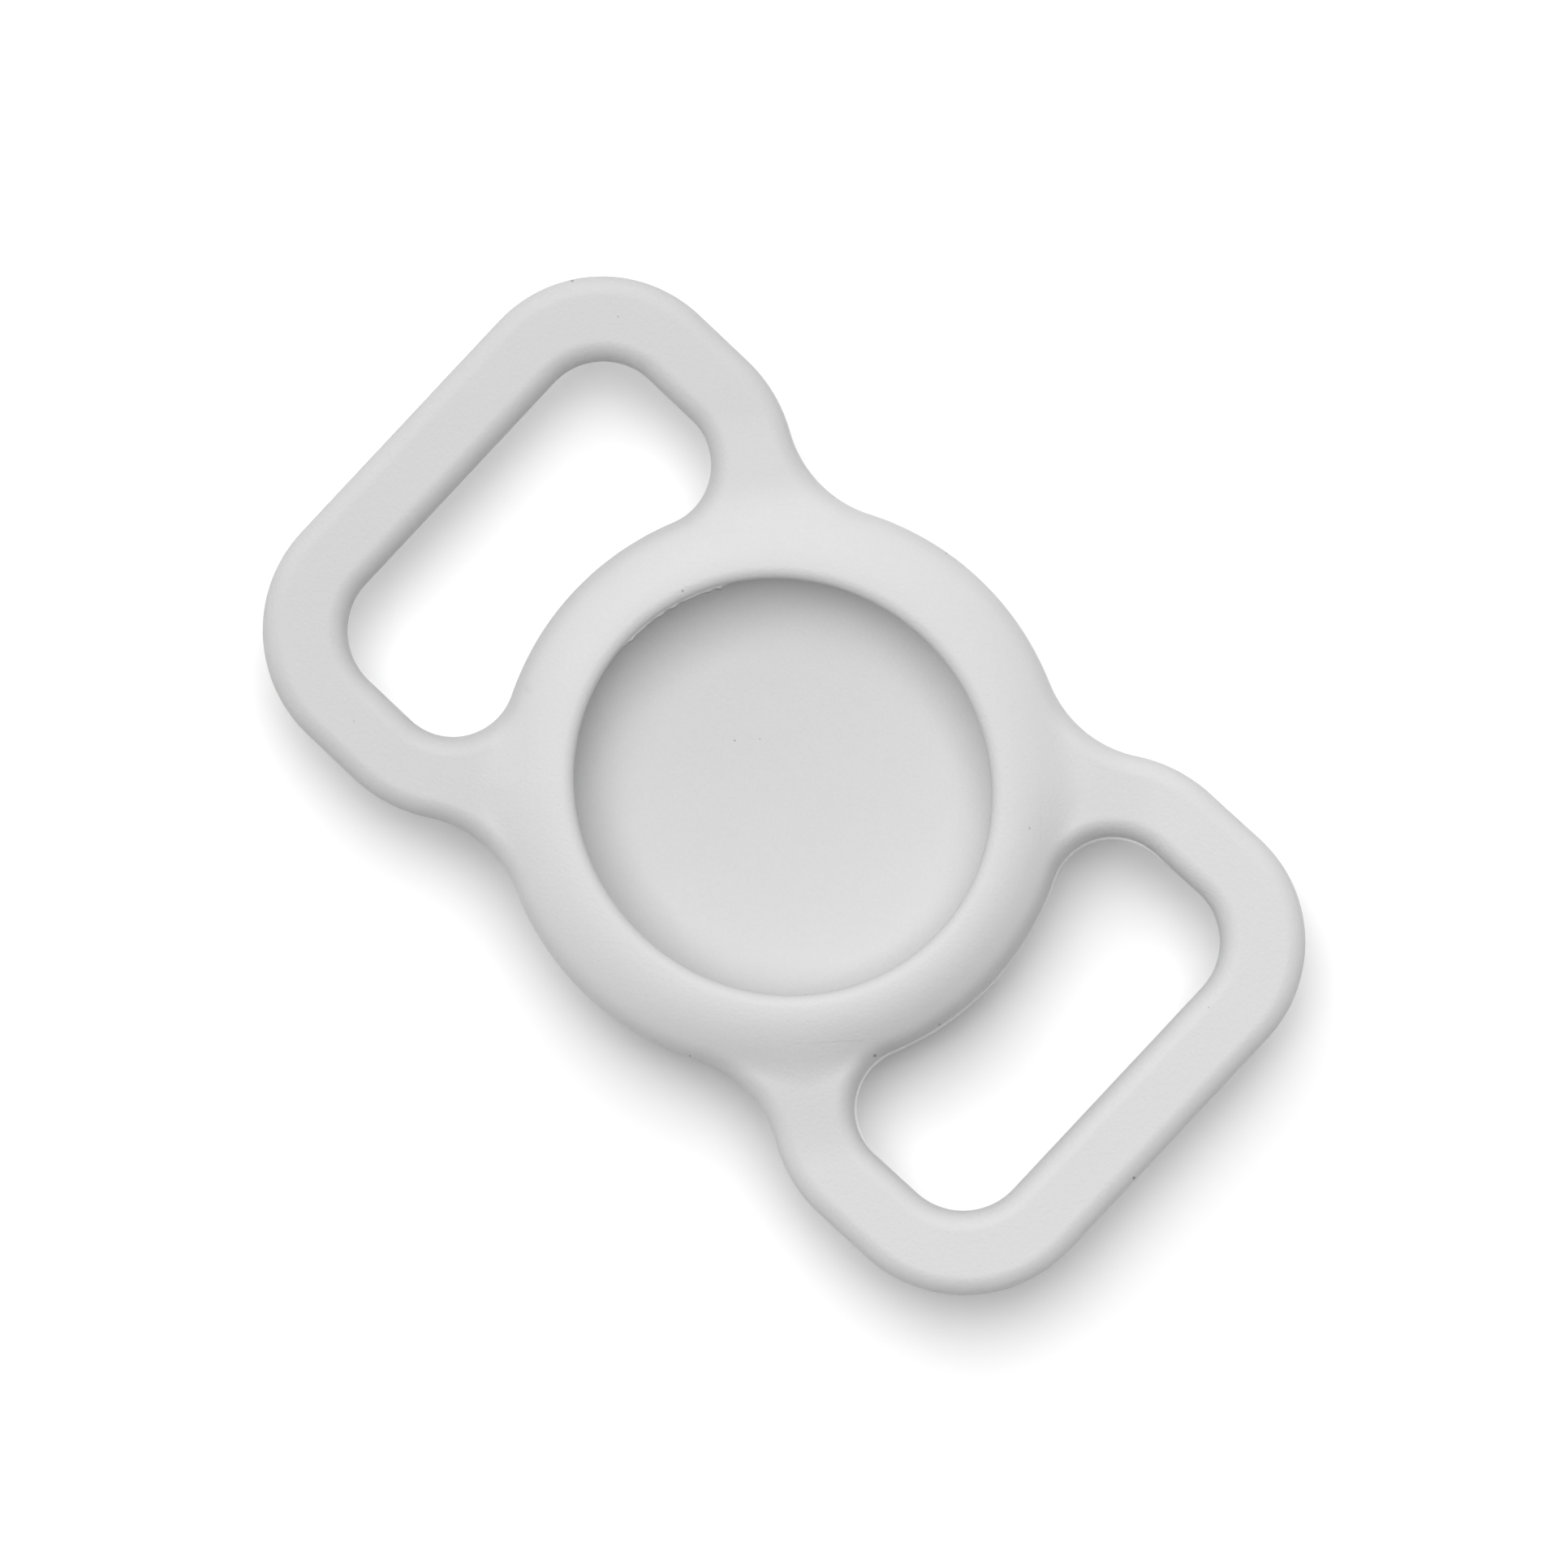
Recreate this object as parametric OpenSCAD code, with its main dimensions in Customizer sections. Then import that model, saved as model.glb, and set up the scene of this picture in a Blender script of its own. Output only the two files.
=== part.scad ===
// Holder for a round tracker tag: a soft pocket with a strap loop at either end,
// moulded in one shot. The pocket's back, lip, necks and loops are named apart,
// where the soft material stretches or bends.
// X runs along the holder, Z points out of the pocket's mouth, and the flat of
// the back lies on Z = 0.

/* [Tag] */
// Diameter of the round tag that the pocket grips
tag_d = 31.9; // [26:0.1:40]
// Thickness of the tag at its middle
tag_t = 8; // [6.5:0.1:12]
// Gap between the tag's edge and the pocket
tag_gap = 0.05; // [0.02:0.01:0.4]

/* [Pocket] */
// Thickness of the side wall at its widest line
side_wall = 2.5; // [1.5:0.1:4]
// Thickness of the back wall at its middle
back_wall = 1.5; // [1:0.1:2.5]
// Depth of the dish in the pocket's floor
floor_dish = 2.2; // [0.6:0.1:3]
// Radius of the corner between the floor and the side wall
floor_corner = 1; // [0.4:0.1:1.5]
// Diameter of the flat on the back that the holder rests on
foot_d = 18; // [8:0.5:22]
// How far the lip reaches in over the tag, from the pocket's inner wall
lip_reach = 2.6; // [1.8:0.1:5]
// Thickness of the lip that holds the tag in
lip_t = 1.6; // [0.8:0.1:2]
// How far the lip's crest stands above the middle of the tag
lip_rise = 0.9; // [0.2:0.1:1.5]
// Radius of the corner under the lip
lip_corner = 1.6; // [0.6:0.1:2]

/* [Strap loops] */
// How far the loops stand out past the pocket's side, across the holder
loop_over = 0.05; // [0:0.05:2]
// Least gap between the pocket and the end bar
slot_gap = 10.2; // [8:0.1:16]
// Width of the two arms of a loop
arm_w = 5.22; // [3.6:0.1:7]
// Width of the end bar of a loop
end_bar_w = 5.3; // [3.6:0.1:8]
// Thickness of the loops
loop_t = 3.5; // [2:0.1:4.5]
// Height of the loops' middle plane above the back
loop_z = 5.9; // [5.2:0.1:6.6]
// Radius of the slot's corners at the end bar
slot_corner = 4.4; // [1:0.1:5]
// Radius of the loop's outer corners
outer_corner = 9.2; // [5:0.1:10]
// How far the rounding of a loop's edges reaches in
edge_round = 1.3; // [0.8:0.05:1.8]

/* [Necks] */
// Radius of the slot's inner lobes, which touch the pocket's side
lobe_r = 4.05; // [3:0.05:5.5]
// Radius of the waist between the pocket and an arm
waist_r = 7.8; // [5:0.1:12]
// Radius of the shoulder that leads the waist into the arm
shoulder_r = 9.8; // [7:0.1:12]
// Height that a neck flares to inside the pocket's side, before it is cut to fit
root_t = 6.6; // [4.6:0.1:7]
// Length of straight arm that a neck takes before the loop starts
neck_run = 1.5; // [0.5:0.1:2.5]

/* [Hidden] */

// Finish of the round stretches: steps along an arc in a section or an outline
arc_steps = 14;
side_steps = 8;
root_steps = 9;
$fn = 180;
silicone = [0.84, 0.84, 0.84];

// Pocket
cavity_r = tag_d / 2 + tag_gap;
disc_r = cavity_r + side_wall;
foot_r = foot_d / 2;
top_z = back_wall + tag_t + lip_rise;
lip_under_z = top_z - lip_t;
lip_r = lip_t / 2;
lip_x = cavity_r - lip_reach + lip_r;
dome_w = disc_r - lip_x;
dome_h = top_z - loop_z;
under_corner = min(lip_corner, cavity_r - lip_x);
split_angle = asin((lip_under_z - loop_z) / dome_h);

// Loop: end bar, arms and the centres of the corners' arcs
arm_y = disc_r + loop_over;
slot_y = arm_y - arm_w;
slot_x = disc_r + slot_gap;
end_x = slot_x + end_bar_w;
slot_corner_c = [slot_x - slot_corner, slot_y - slot_corner];
outer_corner_c = [end_x - outer_corner, arm_y - outer_corner];

// Neck: the lobe touches the pocket and the slot's edge, and the waist touches
// the pocket and the shoulder
lobe_y = slot_y - lobe_r;
lobe_x = sqrt(pow(disc_r + lobe_r, 2) - pow(lobe_y, 2));
lobe_c = [lobe_x, lobe_y];
shoulder_c = [lobe_x, arm_y - shoulder_r];
waist_c = meet([0, 0], disc_r + waist_r, shoulder_c, waist_r + shoulder_r);
split_x = lobe_x + neck_run;
throat_angle = bearing(shoulder_c, waist_c);
lobe_start = bearing(lobe_c, [0, 0]);
waist_start = bearing(waist_c, [0, 0]) + 360;
waist_end = bearing(waist_c, shoulder_c) + 360;
// Share of each arc, next to the pocket, that is left out to keep the tip sound
tip_share = 0.12;
// How far a neck reaches into the pocket's side before it is cut to fit
root_reach = side_wall * 0.9;
throat = (on_circle(lobe_c, lobe_r, throat_angle) + on_circle(waist_c, waist_r, waist_end)) / 2;
reach_share = root_reach / (root_reach + norm(throat) - disc_r);
// How round a neck's section is at its root, where 1 is an oval
root_oval_share = 0.95;
// How fast the flare dies away from the pocket
flare_power = 2.6;

// Points on an ellipse's arc, without its first point
function oval(c, rx, ry, a0, a1, steps) =
    [for (i = [1:steps]) let (a = a0 + (a1 - a0) * i / steps) c + [rx * cos(a), ry * sin(a)]];

// A point on a circle
function on_circle(c, r, a) = c + r * [cos(a), sin(a)];

// Direction from one point to another, in degrees
function bearing(from, to) = atan2(to[1] - from[1], to[0] - from[0]);

// The upper one of the two points where two circles cross
function meet(c1, r1, c2, r2) =
    let (
        d = norm(c2 - c1),
        u = (c2 - c1) / d,
        along = (r1 * r1 - r2 * r2 + d * d) / (2 * d),
        off = sqrt(r1 * r1 - along * along)
    )
    c1 + along * u + off * [-u[1], u[0]];

// Height of the dished floor at a distance from the middle
function floor_z(r) = back_wall + floor_dish * pow(r / cavity_r, 2);

// The pocket's outer side, from the foot's edge up to the given bearing
function outer_side(top_angle) = concat(
    [[foot_r, 0]],
    oval([foot_r, loop_z], disc_r - foot_r, loop_z, -90, 0, arc_steps),
    oval([lip_x, loop_z], dome_w, dome_h, 0, top_angle, arc_steps)
);

// A bar's rounded section between its two edges: the distance from the inner
// edge, and the height over the middle plane. The flare is 0 for a plain bar
// and 1 for an oval.
function bar_section(width, height, flare) =
    let (e0 = min(edge_round, width / 2), e = e0 + flare * (width / 2 - e0))
    concat(
        [for (i = [0:side_steps]) let (a = 270 - 180 * i / side_steps)
            [e + e * cos(a), height / 2 * sin(a)]],
        [for (i = [0:side_steps]) let (a = 90 - 180 * i / side_steps)
            [width - e + e * cos(a), height / 2 * sin(a)]]
    );

// One station of a bar: its section set between two plan points, bowed away
// from the pocket by a sagitta
function station(p, q, height, bow = 0, flare = 0) =
    let (w = norm(q - p), u = (q - p) / w, n = [-u[1], u[0]])
    [for (s = bar_section(w, height, flare))
        let (t = s[0] / w, xy = p + s[0] * u - 4 * bow * t * (1 - t) * n)
        [xy[0], xy[1], loop_z + s[1]]];

// A skin over stations that all have as many points, closed flat at both ends
module skin(stations) {
    n = len(stations[0]);
    m = len(stations);
    points = [for (s = stations) each s];
    sides = [for (i = [0:m - 2], j = [0:n - 1])
        let (k = (j + 1) % n)
        each [
            [i * n + j, i * n + k, (i + 1) * n + k],
            [i * n + j, (i + 1) * n + k, (i + 1) * n + j]
        ]];
    first = [for (j = [1:n - 2]) [0, j + 1, j]];
    last = [for (j = [1:n - 2]) (m - 1) * n * [1, 1, 1] + [0, j, j + 1]];
    polyhedron(points, concat(sides, first, last), convexity = 6);
}

// A neck's stations: inside the pocket's side, along the lobe and the waist,
// round the shoulder and along the start of the arm
function neck_stations() =
    let (
        a0 = lobe_start + 360 + tip_share * (throat_angle - lobe_start - 360),
        b0 = waist_start + tip_share * (waist_end - waist_start),
        p0 = on_circle(lobe_c, lobe_r, a0),
        q0 = on_circle(waist_c, waist_r, b0),
        bow0 = disc_r * (1 - cos((bearing([0, 0], q0) - bearing([0, 0], p0)) / 2)),
        inward = 1 - root_reach / disc_r
    )
    concat(
        [station(p0 * inward, q0 * inward, root_t, bow0 * inward, root_oval_share)],
        [for (i = [0:root_steps])
            let (
                u = i / root_steps,
                p = on_circle(lobe_c, lobe_r, a0 + u * (throat_angle - a0)),
                q = on_circle(waist_c, waist_r, b0 + u * (waist_end - b0)),
                flare = pow((1 - reach_share) * (1 - u), flare_power)
            )
            station(p, q, loop_t + (root_t - loop_t) * flare, bow0 * pow(1 - u, 2),
                root_oval_share * (1 - u))],
        [for (i = [1:root_steps])
            let (a = throat_angle + (90 - throat_angle) * i / root_steps)
            station(on_circle(lobe_c, lobe_r, a), on_circle(shoulder_c, shoulder_r, a), loop_t)],
        [station([split_x, slot_y], [split_x, arm_y], loop_t)]
    );

// A quarter of a loop, from the neck to the middle of the end bar
function corner_stations() =
    [for (i = [0:arc_steps])
        let (a = 90 - 90 * i / arc_steps)
        station(on_circle(slot_corner_c, slot_corner, a),
            on_circle(outer_corner_c, outer_corner, a), loop_t)];

function mirror_y(stations) =
    [for (s = stations) [for (p = s) [p[0], -p[1], p[2]]]];

function backwards(list) = [for (i = [len(list) - 1:-1:0]) list[i]];

function loop_stations() =
    let (
        upper = concat([station([split_x, slot_y], [split_x, arm_y], loop_t)], corner_stations())
    )
    concat(upper, backwards(mirror_y(upper)));

// The pocket's back wall and side wall, with the dished floor inside
module pocket_shell() {
    floor_r = cavity_r - floor_corner;
    corner_z = floor_z(floor_r) + floor_corner;
    color(silicone) rotate_extrude() polygon(concat(
        [[0, 0]],
        outer_side(split_angle),
        [[cavity_r - under_corner, lip_under_z]],
        oval([cavity_r - under_corner, lip_under_z - under_corner],
            under_corner, under_corner, 90, 0, side_steps),
        [[cavity_r, corner_z]],
        oval([floor_r, corner_z], floor_corner, floor_corner, 0, -90, side_steps),
        [for (i = [arc_steps - 1:-1:0]) let (r = floor_r * i / arc_steps) [r, floor_z(r)]]
    ));
}

// The soft lip round the mouth, which stretches over the tag and holds it in
module pocket_lip() {
    color(silicone) rotate_extrude() polygon(concat(
        [
            [cavity_r - under_corner, lip_under_z],
            [lip_x + dome_w * cos(split_angle), lip_under_z]
        ],
        oval([lip_x, loop_z], dome_w, dome_h, split_angle, 90, arc_steps),
        oval([lip_x, top_z - lip_r], lip_r, lip_r, 90, 270, 2 * side_steps)
    ));
}

// Everything inside the pocket's outer side
module pocket_envelope() {
    rotate_extrude() polygon(concat([[0, 0]], outer_side(90), [[0, top_z]]));
}

// One neck: a living hinge that flares into the pocket's side
module neck() {
    color(silicone) difference() {
        skin(neck_stations());
        pocket_envelope();
    }
}

// One strap loop: two arms and the end bar
module loop() {
    color(silicone) skin(loop_stations());
}

module left_upper_neck() { mirror([1, 0, 0]) neck(); }
module left_lower_neck() { rotate(180) neck(); }
module right_upper_neck() { neck(); }
module right_lower_neck() { mirror([0, 1, 0]) neck(); }
module left_loop() { rotate(180) loop(); }
module right_loop() { loop(); }

pocket_shell();
pocket_lip();
left_upper_neck();
left_lower_neck();
right_upper_neck();
right_lower_neck();
left_loop();
right_loop();
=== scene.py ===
"""Looks of the tracker tag holder: one light grey silicone moulding, empty, lying on its back.

The skin is one smooth form: the pocket's dome and back, and the flat loops with round
edges, melted into each other at the necks. It is cut into three pieces, on flat seams
inside the necks' roots: the pocket, which is rigid, and the two loops.
Sizes here are in millimetres until a mesh is made.
"""

import math

import bpy
import numpy as np
from mathutils import Matrix, Vector


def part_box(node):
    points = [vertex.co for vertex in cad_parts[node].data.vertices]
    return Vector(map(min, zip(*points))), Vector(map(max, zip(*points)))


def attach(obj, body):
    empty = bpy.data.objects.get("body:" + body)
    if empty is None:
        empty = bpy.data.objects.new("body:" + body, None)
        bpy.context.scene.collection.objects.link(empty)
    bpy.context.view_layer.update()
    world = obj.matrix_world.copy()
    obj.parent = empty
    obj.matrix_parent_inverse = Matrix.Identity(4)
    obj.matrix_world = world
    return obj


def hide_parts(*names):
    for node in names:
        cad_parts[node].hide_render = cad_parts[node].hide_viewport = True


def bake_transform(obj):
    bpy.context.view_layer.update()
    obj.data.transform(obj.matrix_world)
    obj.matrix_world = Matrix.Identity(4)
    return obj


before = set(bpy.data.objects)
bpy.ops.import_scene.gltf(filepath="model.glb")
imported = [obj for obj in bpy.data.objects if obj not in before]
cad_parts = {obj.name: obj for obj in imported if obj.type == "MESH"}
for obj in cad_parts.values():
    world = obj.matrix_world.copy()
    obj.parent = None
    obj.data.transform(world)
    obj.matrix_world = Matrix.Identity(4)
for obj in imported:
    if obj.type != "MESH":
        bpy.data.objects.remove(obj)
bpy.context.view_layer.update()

MM = 0.001


def box_mm(node):
    """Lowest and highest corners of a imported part, in millimetres."""
    low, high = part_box(node)
    return np.array(low) / MM, np.array(high) / MM


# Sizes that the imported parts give
shell_low, shell_high = box_mm("pocket_shell")
lip_low, lip_high = box_mm("pocket_lip")
loop_low, loop_high = box_mm("right_loop")
DISC_R = shell_high[0]
TOP_Z = lip_high[2]
MID_Z = (loop_low[2] + loop_high[2]) / 2
HALF_T = (loop_high[2] - loop_low[2]) / 2
END_X = loop_high[0]
ARM_Y = loop_high[1]

# Pocket
SIDE_WALL = 2.5
CAVITY_R = DISC_R - SIDE_WALL
BACK_WALL = 1.5
FLOOR_DISH = 2.2
FLOOR_CORNER = 1.0
FOOT_R = 9.0
LIP_REACH = 2.6
LIP_R = 0.8
CREST_R = CAVITY_R - LIP_REACH + LIP_R
LIP_CORNER = 1.6

# The mouth isn't quite round: it is wider along the holder by this, either way
MOUTH_OVAL = 0.28
MOUTH_OVAL_END_R = 17.5

# Shreds left on the lip's edge: bearing, half width in degrees, and how far in they reach
LIP_SHREDS = [(150.3, 1.3, 0.13), (156.0, 0.7, 0.06), (176.5, 0.8, 0.10), (181.3, 0.6, 0.08),
              (232.2, 0.9, 0.07), (24.0, 0.8, 0.05)]
SHRED_HALF_T = 0.12
# Thin flash left along a stretch of the lip's edge: its bearings, and how far in it reaches
FILM_START, FILM_END = 149.5, 182
FILM_REACH = 0.15
FILM_START_FADE, FILM_END_FADE = 1, 3
# The flash's roughness, as two sine waves round the mouth: waves a turn, share, degrees on
FILM_WAVES = [(73, 0.30, 0), (101, 0.25, 40)]

# Loops and necks
ARM_W = 5.22
BAR_W = 5.3
EDGE_ROUND = 1.3
SLOT_CORNER = 4.4
OUTER_CORNER = 9.2
LOBE_R = 4.05
WAIST_R = 7.8
SHOULDER_R = 9.8
FILLET = 2.0

# The necks' tops rise towards the pocket by this, between two radii
NECK_RISE = 0.9
NECK_RISE_FULL_R, NECK_RISE_END_R = 17.0, 24.5

# The loops lie a little askew: how far their ends stand off across the holder
SKEW = {-1: 0.09, 1: 0.16}

# Flat seams between the pocket and the loops, from one bearing on the pocket's edge to another
SEAM_START = 17.3
SEAM_END = 70.5

# Flash along the parting line: half its height at the root, how much of that is left at the
# tip, how far it stands out, and how much farther it does beside the right slot. That
# slot's stretch ends by the cosine of its bearing, and the waves are as for the lip's
FLASH_HALF = 0.05
FLASH_TIP_SHARE = 0.4
FLASH_REACH = 0.03
FLASH_BY_SLOT = 0.12
BY_SLOT_COSINE, BY_SLOT_FADE = 0.74, 0.06
FLASH_WAVES = [(23, 0.06, 1), (61, 0.04, 0)]

# Fineness of the skins
NECK_CELLS = 64
SIDE_GAP_CELLS = 40
END_GAP_CELLS = 44
DOME_ROWS = 28
BACK_ROWS = 6
LIP_CELLS = 22
CORNER_CELLS = 12
BOTTOM_CORNER_CELLS = 10
WALL_CELLS = 5
DISH_ROWS = 25
NECK_STEPS = 40
SHOULDER_STEPS = 12
ARM_STEPS = 10
OUTER_CORNER_STEPS = 30
BAR_STEPS = 16
BISECTIONS = 40
SLOPE_STEP = 0.01
TINY = 1e-9


def direction(degrees):
    """Unit vectors at bearings in the plan, as rows."""
    a = np.radians(degrees)
    return np.stack([np.cos(a), np.sin(a)], axis=-1)


def bearing(start, end):
    """Bearing from one plan point to another, in degrees."""
    return math.degrees(math.atan2(end[1] - start[1], end[0] - start[0]))


def upper_crossing(c1, r1, c2, r2):
    """The upper of the two points where two circles cross: along the line between the
    centres by (r1² - r2² + d²) / 2d, then square to it by Pythagoras."""
    d = np.linalg.norm(c2 - c1)
    u = (c2 - c1) / d
    along = (r1 ** 2 - r2 ** 2 + d ** 2) / (2 * d)
    return c1 + along * u + math.sqrt(r1 ** 2 - along ** 2) * np.array([-u[1], u[0]])


class Arc:
    """A round stretch of the plan outline, walked from one bearing to another. The
    material is inside its circle where side is 1, and outside it where side is -1."""

    def __init__(self, centre, radius, start, stop, side):
        self.centre, self.radius, self.start, self.stop, self.side = (
            np.array(centre, float), radius, start, stop, side)

    def length(self):
        return math.radians(abs(self.stop - self.start)) * self.radius

    def at(self, share):
        """Points at shares of the way along: centre + radius times the unit vector."""
        turned = self.start + (self.stop - self.start) * np.asarray(share)
        return self.centre + self.radius * direction(turned)

    def gap(self, x, y):
        """Signed distance to the stretch, side * (rho - radius), negative inside the
        material, and infinite where the nearest point isn't on the stretch."""
        dx, dy = x - self.centre[0], y - self.centre[1]
        middle = (self.start + self.stop) / 2
        off = (np.degrees(np.arctan2(dy, dx)) - middle + 180) % 360 - 180
        on = np.abs(off) <= abs(self.stop - self.start) / 2 + TINY
        return np.where(on, self.side * (np.hypot(dx, dy) - self.radius), np.inf)


class Line:
    """A straight stretch of the plan outline, with the material on its right where side
    is 1 and on its left where side is -1."""

    def __init__(self, start, stop, side):
        self.start, self.stop, self.side = np.array(start, float), np.array(stop, float), side

    def length(self):
        return float(np.linalg.norm(self.stop - self.start))

    def at(self, share):
        """Points at shares of the way along: a straight mix of the two ends."""
        share = np.asarray(share)[..., None]
        return self.start + (self.stop - self.start) * share

    def gap(self, x, y):
        """Signed distance: the cross product with the unit direction, negative inside
        the material, and infinite past either end."""
        u = (self.stop - self.start) / self.length()
        dx, dy = x - self.start[0], y - self.start[1]
        along = dx * u[0] + dy * u[1]
        on = (along >= -TINY) & (along <= self.length() + TINY)
        return np.where(on, self.side * (dy * u[0] - dx * u[1]), np.inf)


# The plan outline of one quarter: circles that touch each other, and straight edges
SLOT_Y = ARM_Y - ARM_W
SLOT_X = END_X - BAR_W
ORIGIN = np.zeros(2)
lobe_y = SLOT_Y - LOBE_R
lobe_c = np.array([math.sqrt((DISC_R + LOBE_R) ** 2 - lobe_y ** 2), lobe_y])
shoulder_c = np.array([lobe_c[0], ARM_Y - SHOULDER_R])
waist_c = upper_crossing(ORIGIN, DISC_R + WAIST_R, shoulder_c, WAIST_R + SHOULDER_R)
slot_corner_c = np.array([SLOT_X - SLOT_CORNER, SLOT_Y - SLOT_CORNER])
outer_corner_c = np.array([END_X - OUTER_CORNER, ARM_Y - OUTER_CORNER])
LOBE_TOUCH = bearing(ORIGIN, lobe_c)
WAIST_TOUCH = bearing(ORIGIN, waist_c)
THROAT = bearing(shoulder_c, waist_c)

disc_by_slot = Arc(ORIGIN, DISC_R, 0, LOBE_TOUCH, 1)
lobe = Arc(lobe_c, LOBE_R, LOBE_TOUCH + 180, 90, -1)
slot_side = Line([lobe_c[0], SLOT_Y], [slot_corner_c[0], SLOT_Y], -1)
slot_corner = Arc(slot_corner_c, SLOT_CORNER, 90, 0, -1)
slot_end = Line([SLOT_X, slot_corner_c[1]], [SLOT_X, 0], -1)
disc_side = Arc(ORIGIN, DISC_R, 90, WAIST_TOUCH, 1)
waist = Arc(waist_c, WAIST_R, WAIST_TOUCH + 180, THROAT + 180, -1)
shoulder = Arc(shoulder_c, SHOULDER_R, THROAT, 90, 1)
arm_side = Line([lobe_c[0], ARM_Y], [outer_corner_c[0], ARM_Y], 1)
outer_corner = Arc(outer_corner_c, OUTER_CORNER, 90, 0, 1)
end_side = Line([END_X, outer_corner_c[1]], [END_X, 0], 1)
OUTLINE = [disc_by_slot, lobe, slot_side, slot_corner, slot_end,
           disc_side, waist, shoulder, arm_side, outer_corner, end_side]


def edge_distance(x, y):
    """How far in from the plan outline points lie. The quarter is mirrored, and the
    nearest stretch of the outline decides."""
    gaps = np.stack([stretch.gap(np.abs(x), np.abs(y)) for stretch in OUTLINE])
    nearest = np.argmin(np.abs(gaps), axis=0)
    return -np.take_along_axis(gaps, nearest[None], axis=0)[0]


def oval_gap(u, v, a, b):
    """Distance from an oval with half-axes a and b, to first order: (q - 1) over the
    slope of q, where q = hypot(u / a, v / b). Negative inside."""
    q = np.hypot(u / a, v / b)
    return (q - 1) * q / np.maximum(np.hypot(u / a ** 2, v / b ** 2), TINY)


def ease(t):
    """Smooth step from 0 to 1: 3t² - 2t³."""
    t = np.clip(t, 0, 1)
    return t * t * (3 - 2 * t)


def height(x, y, up):
    """Height of the skin over (up) or under the middle plane. The pocket's oval side
    and the flat bars with round edges are melted together: the smooth minimum of the
    two distances, min(a, b) - max(k - |a - b|, 0)² / 4k, whose reach k dies away
    towards the outline. Over the middle plane the bars thicken towards the pocket. The
    height where the distance is zero is found by halving."""
    shape = x.shape
    x, y = x.ravel(), y.ravel()
    r = np.hypot(x, y)
    inset = np.maximum(edge_distance(x, y), 0)
    reach = np.maximum(FILLET * (1 - np.exp(-inset / FILLET)), TINY)
    inner_r = CREST_R if up else FOOT_R
    side_h = TOP_Z - MID_Z if up else MID_Z
    outward = np.maximum(r - inner_r, 0)
    in_edge = np.maximum(EDGE_ROUND - inset, 0)
    rise = ease((NECK_RISE_END_R - r) / (NECK_RISE_END_R - NECK_RISE_FULL_R))
    bar_h = HALF_T + NECK_RISE * rise if up else HALF_T
    low, high = np.zeros_like(x), np.full_like(x, side_h + HALF_T)
    for _ in range(BISECTIONS):
        middle = (low + high) / 2
        pocket = oval_gap(outward, middle, DISC_R - inner_r, side_h)
        bar = oval_gap(in_edge, middle, EDGE_ROUND, bar_h)
        melt = np.maximum(reach - np.abs(pocket - bar), 0) ** 2 / (4 * reach)
        outside = np.minimum(pocket, bar) - melt > 0
        low, high = np.where(outside, low, middle), np.where(outside, middle, high)
    return ((low + high) / 2).reshape(shape)


def skin_points(xy, up):
    """Points of the skin over or under plan points."""
    h = np.maximum(height(xy[..., 0], xy[..., 1], up), FLASH_HALF)
    return np.concatenate([xy, (MID_Z + (h if up else -h))[..., None]], axis=-1)


def skin_normals(xy, up, step=SLOPE_STEP):
    """Normals of the skin, from the difference of its heights a step either way."""
    slopes = []
    for axis in (0, 1):
        ahead, behind = xy.copy(), xy.copy()
        ahead[..., axis] += step
        behind[..., axis] -= step
        high = height(ahead[..., 0], ahead[..., 1], up)
        low = height(behind[..., 0], behind[..., 1], up)
        slopes.append((low - high) / (2 * step))
    normals = np.stack([*slopes, np.full_like(slopes[0], 1.0)], axis=-1)
    if not up:
        normals[..., 2] *= -1
    return normals / np.linalg.norm(normals, axis=-1, keepdims=True)


def wave_share(cells):
    """Shares from 0 to 1 in cosine steps, which crowd towards both ends."""
    return (1 - np.cos(np.pi * np.arange(cells + 1) / cells)) / 2


def seam_chord():
    """Plan points of one seam, from the slot's side to the free side."""
    ends = DISC_R * direction([SEAM_START, SEAM_END])
    return ends[0] + (ends[1] - ends[0]) * wave_share(NECK_CELLS)[:, None]


def grid_faces(rows, columns):
    """Quads of a grid of points stored row by row, closed round its columns."""
    i, j = np.meshgrid(np.arange(rows - 1), np.arange(columns), indexing="ij")
    k = (j + 1) % columns
    low, high = i * columns, (i + 1) * columns
    return np.stack([low + j, low + k, high + k, high + j], -1).reshape(-1, 4)


def make_piece(name, points, faces, flat, seam, seam_normals, material):
    """One object from points in millimetres and lists of faces. Faces marked flat are
    the parting line and the inner walls. Seam vertices get the skin's true normals."""
    mesh = bpy.data.meshes.new(name)
    mesh.from_pydata((points * MM).tolist(), [], [f.tolist() for f in faces])
    mesh.polygons.foreach_set("use_smooth", ~np.asarray(flat))
    mesh.materials.append(material)
    mesh.update()
    corners = np.zeros(len(mesh.loops), np.int64)
    mesh.loops.foreach_get("vertex_index", corners)
    sizes = np.array([len(f) for f in faces])
    corner_flat = np.repeat(np.asarray(flat), sizes)
    vertex_normals = np.zeros((len(points), 3))
    vertex_normals[seam] = seam_normals
    corner_normals = vertex_normals[corners]
    corner_normals[corner_flat] = 0
    mesh.normals_split_custom_set(corner_normals.tolist())
    piece = bpy.data.objects.new(name, mesh)
    bpy.context.scene.collection.objects.link(piece)
    return piece


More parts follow.
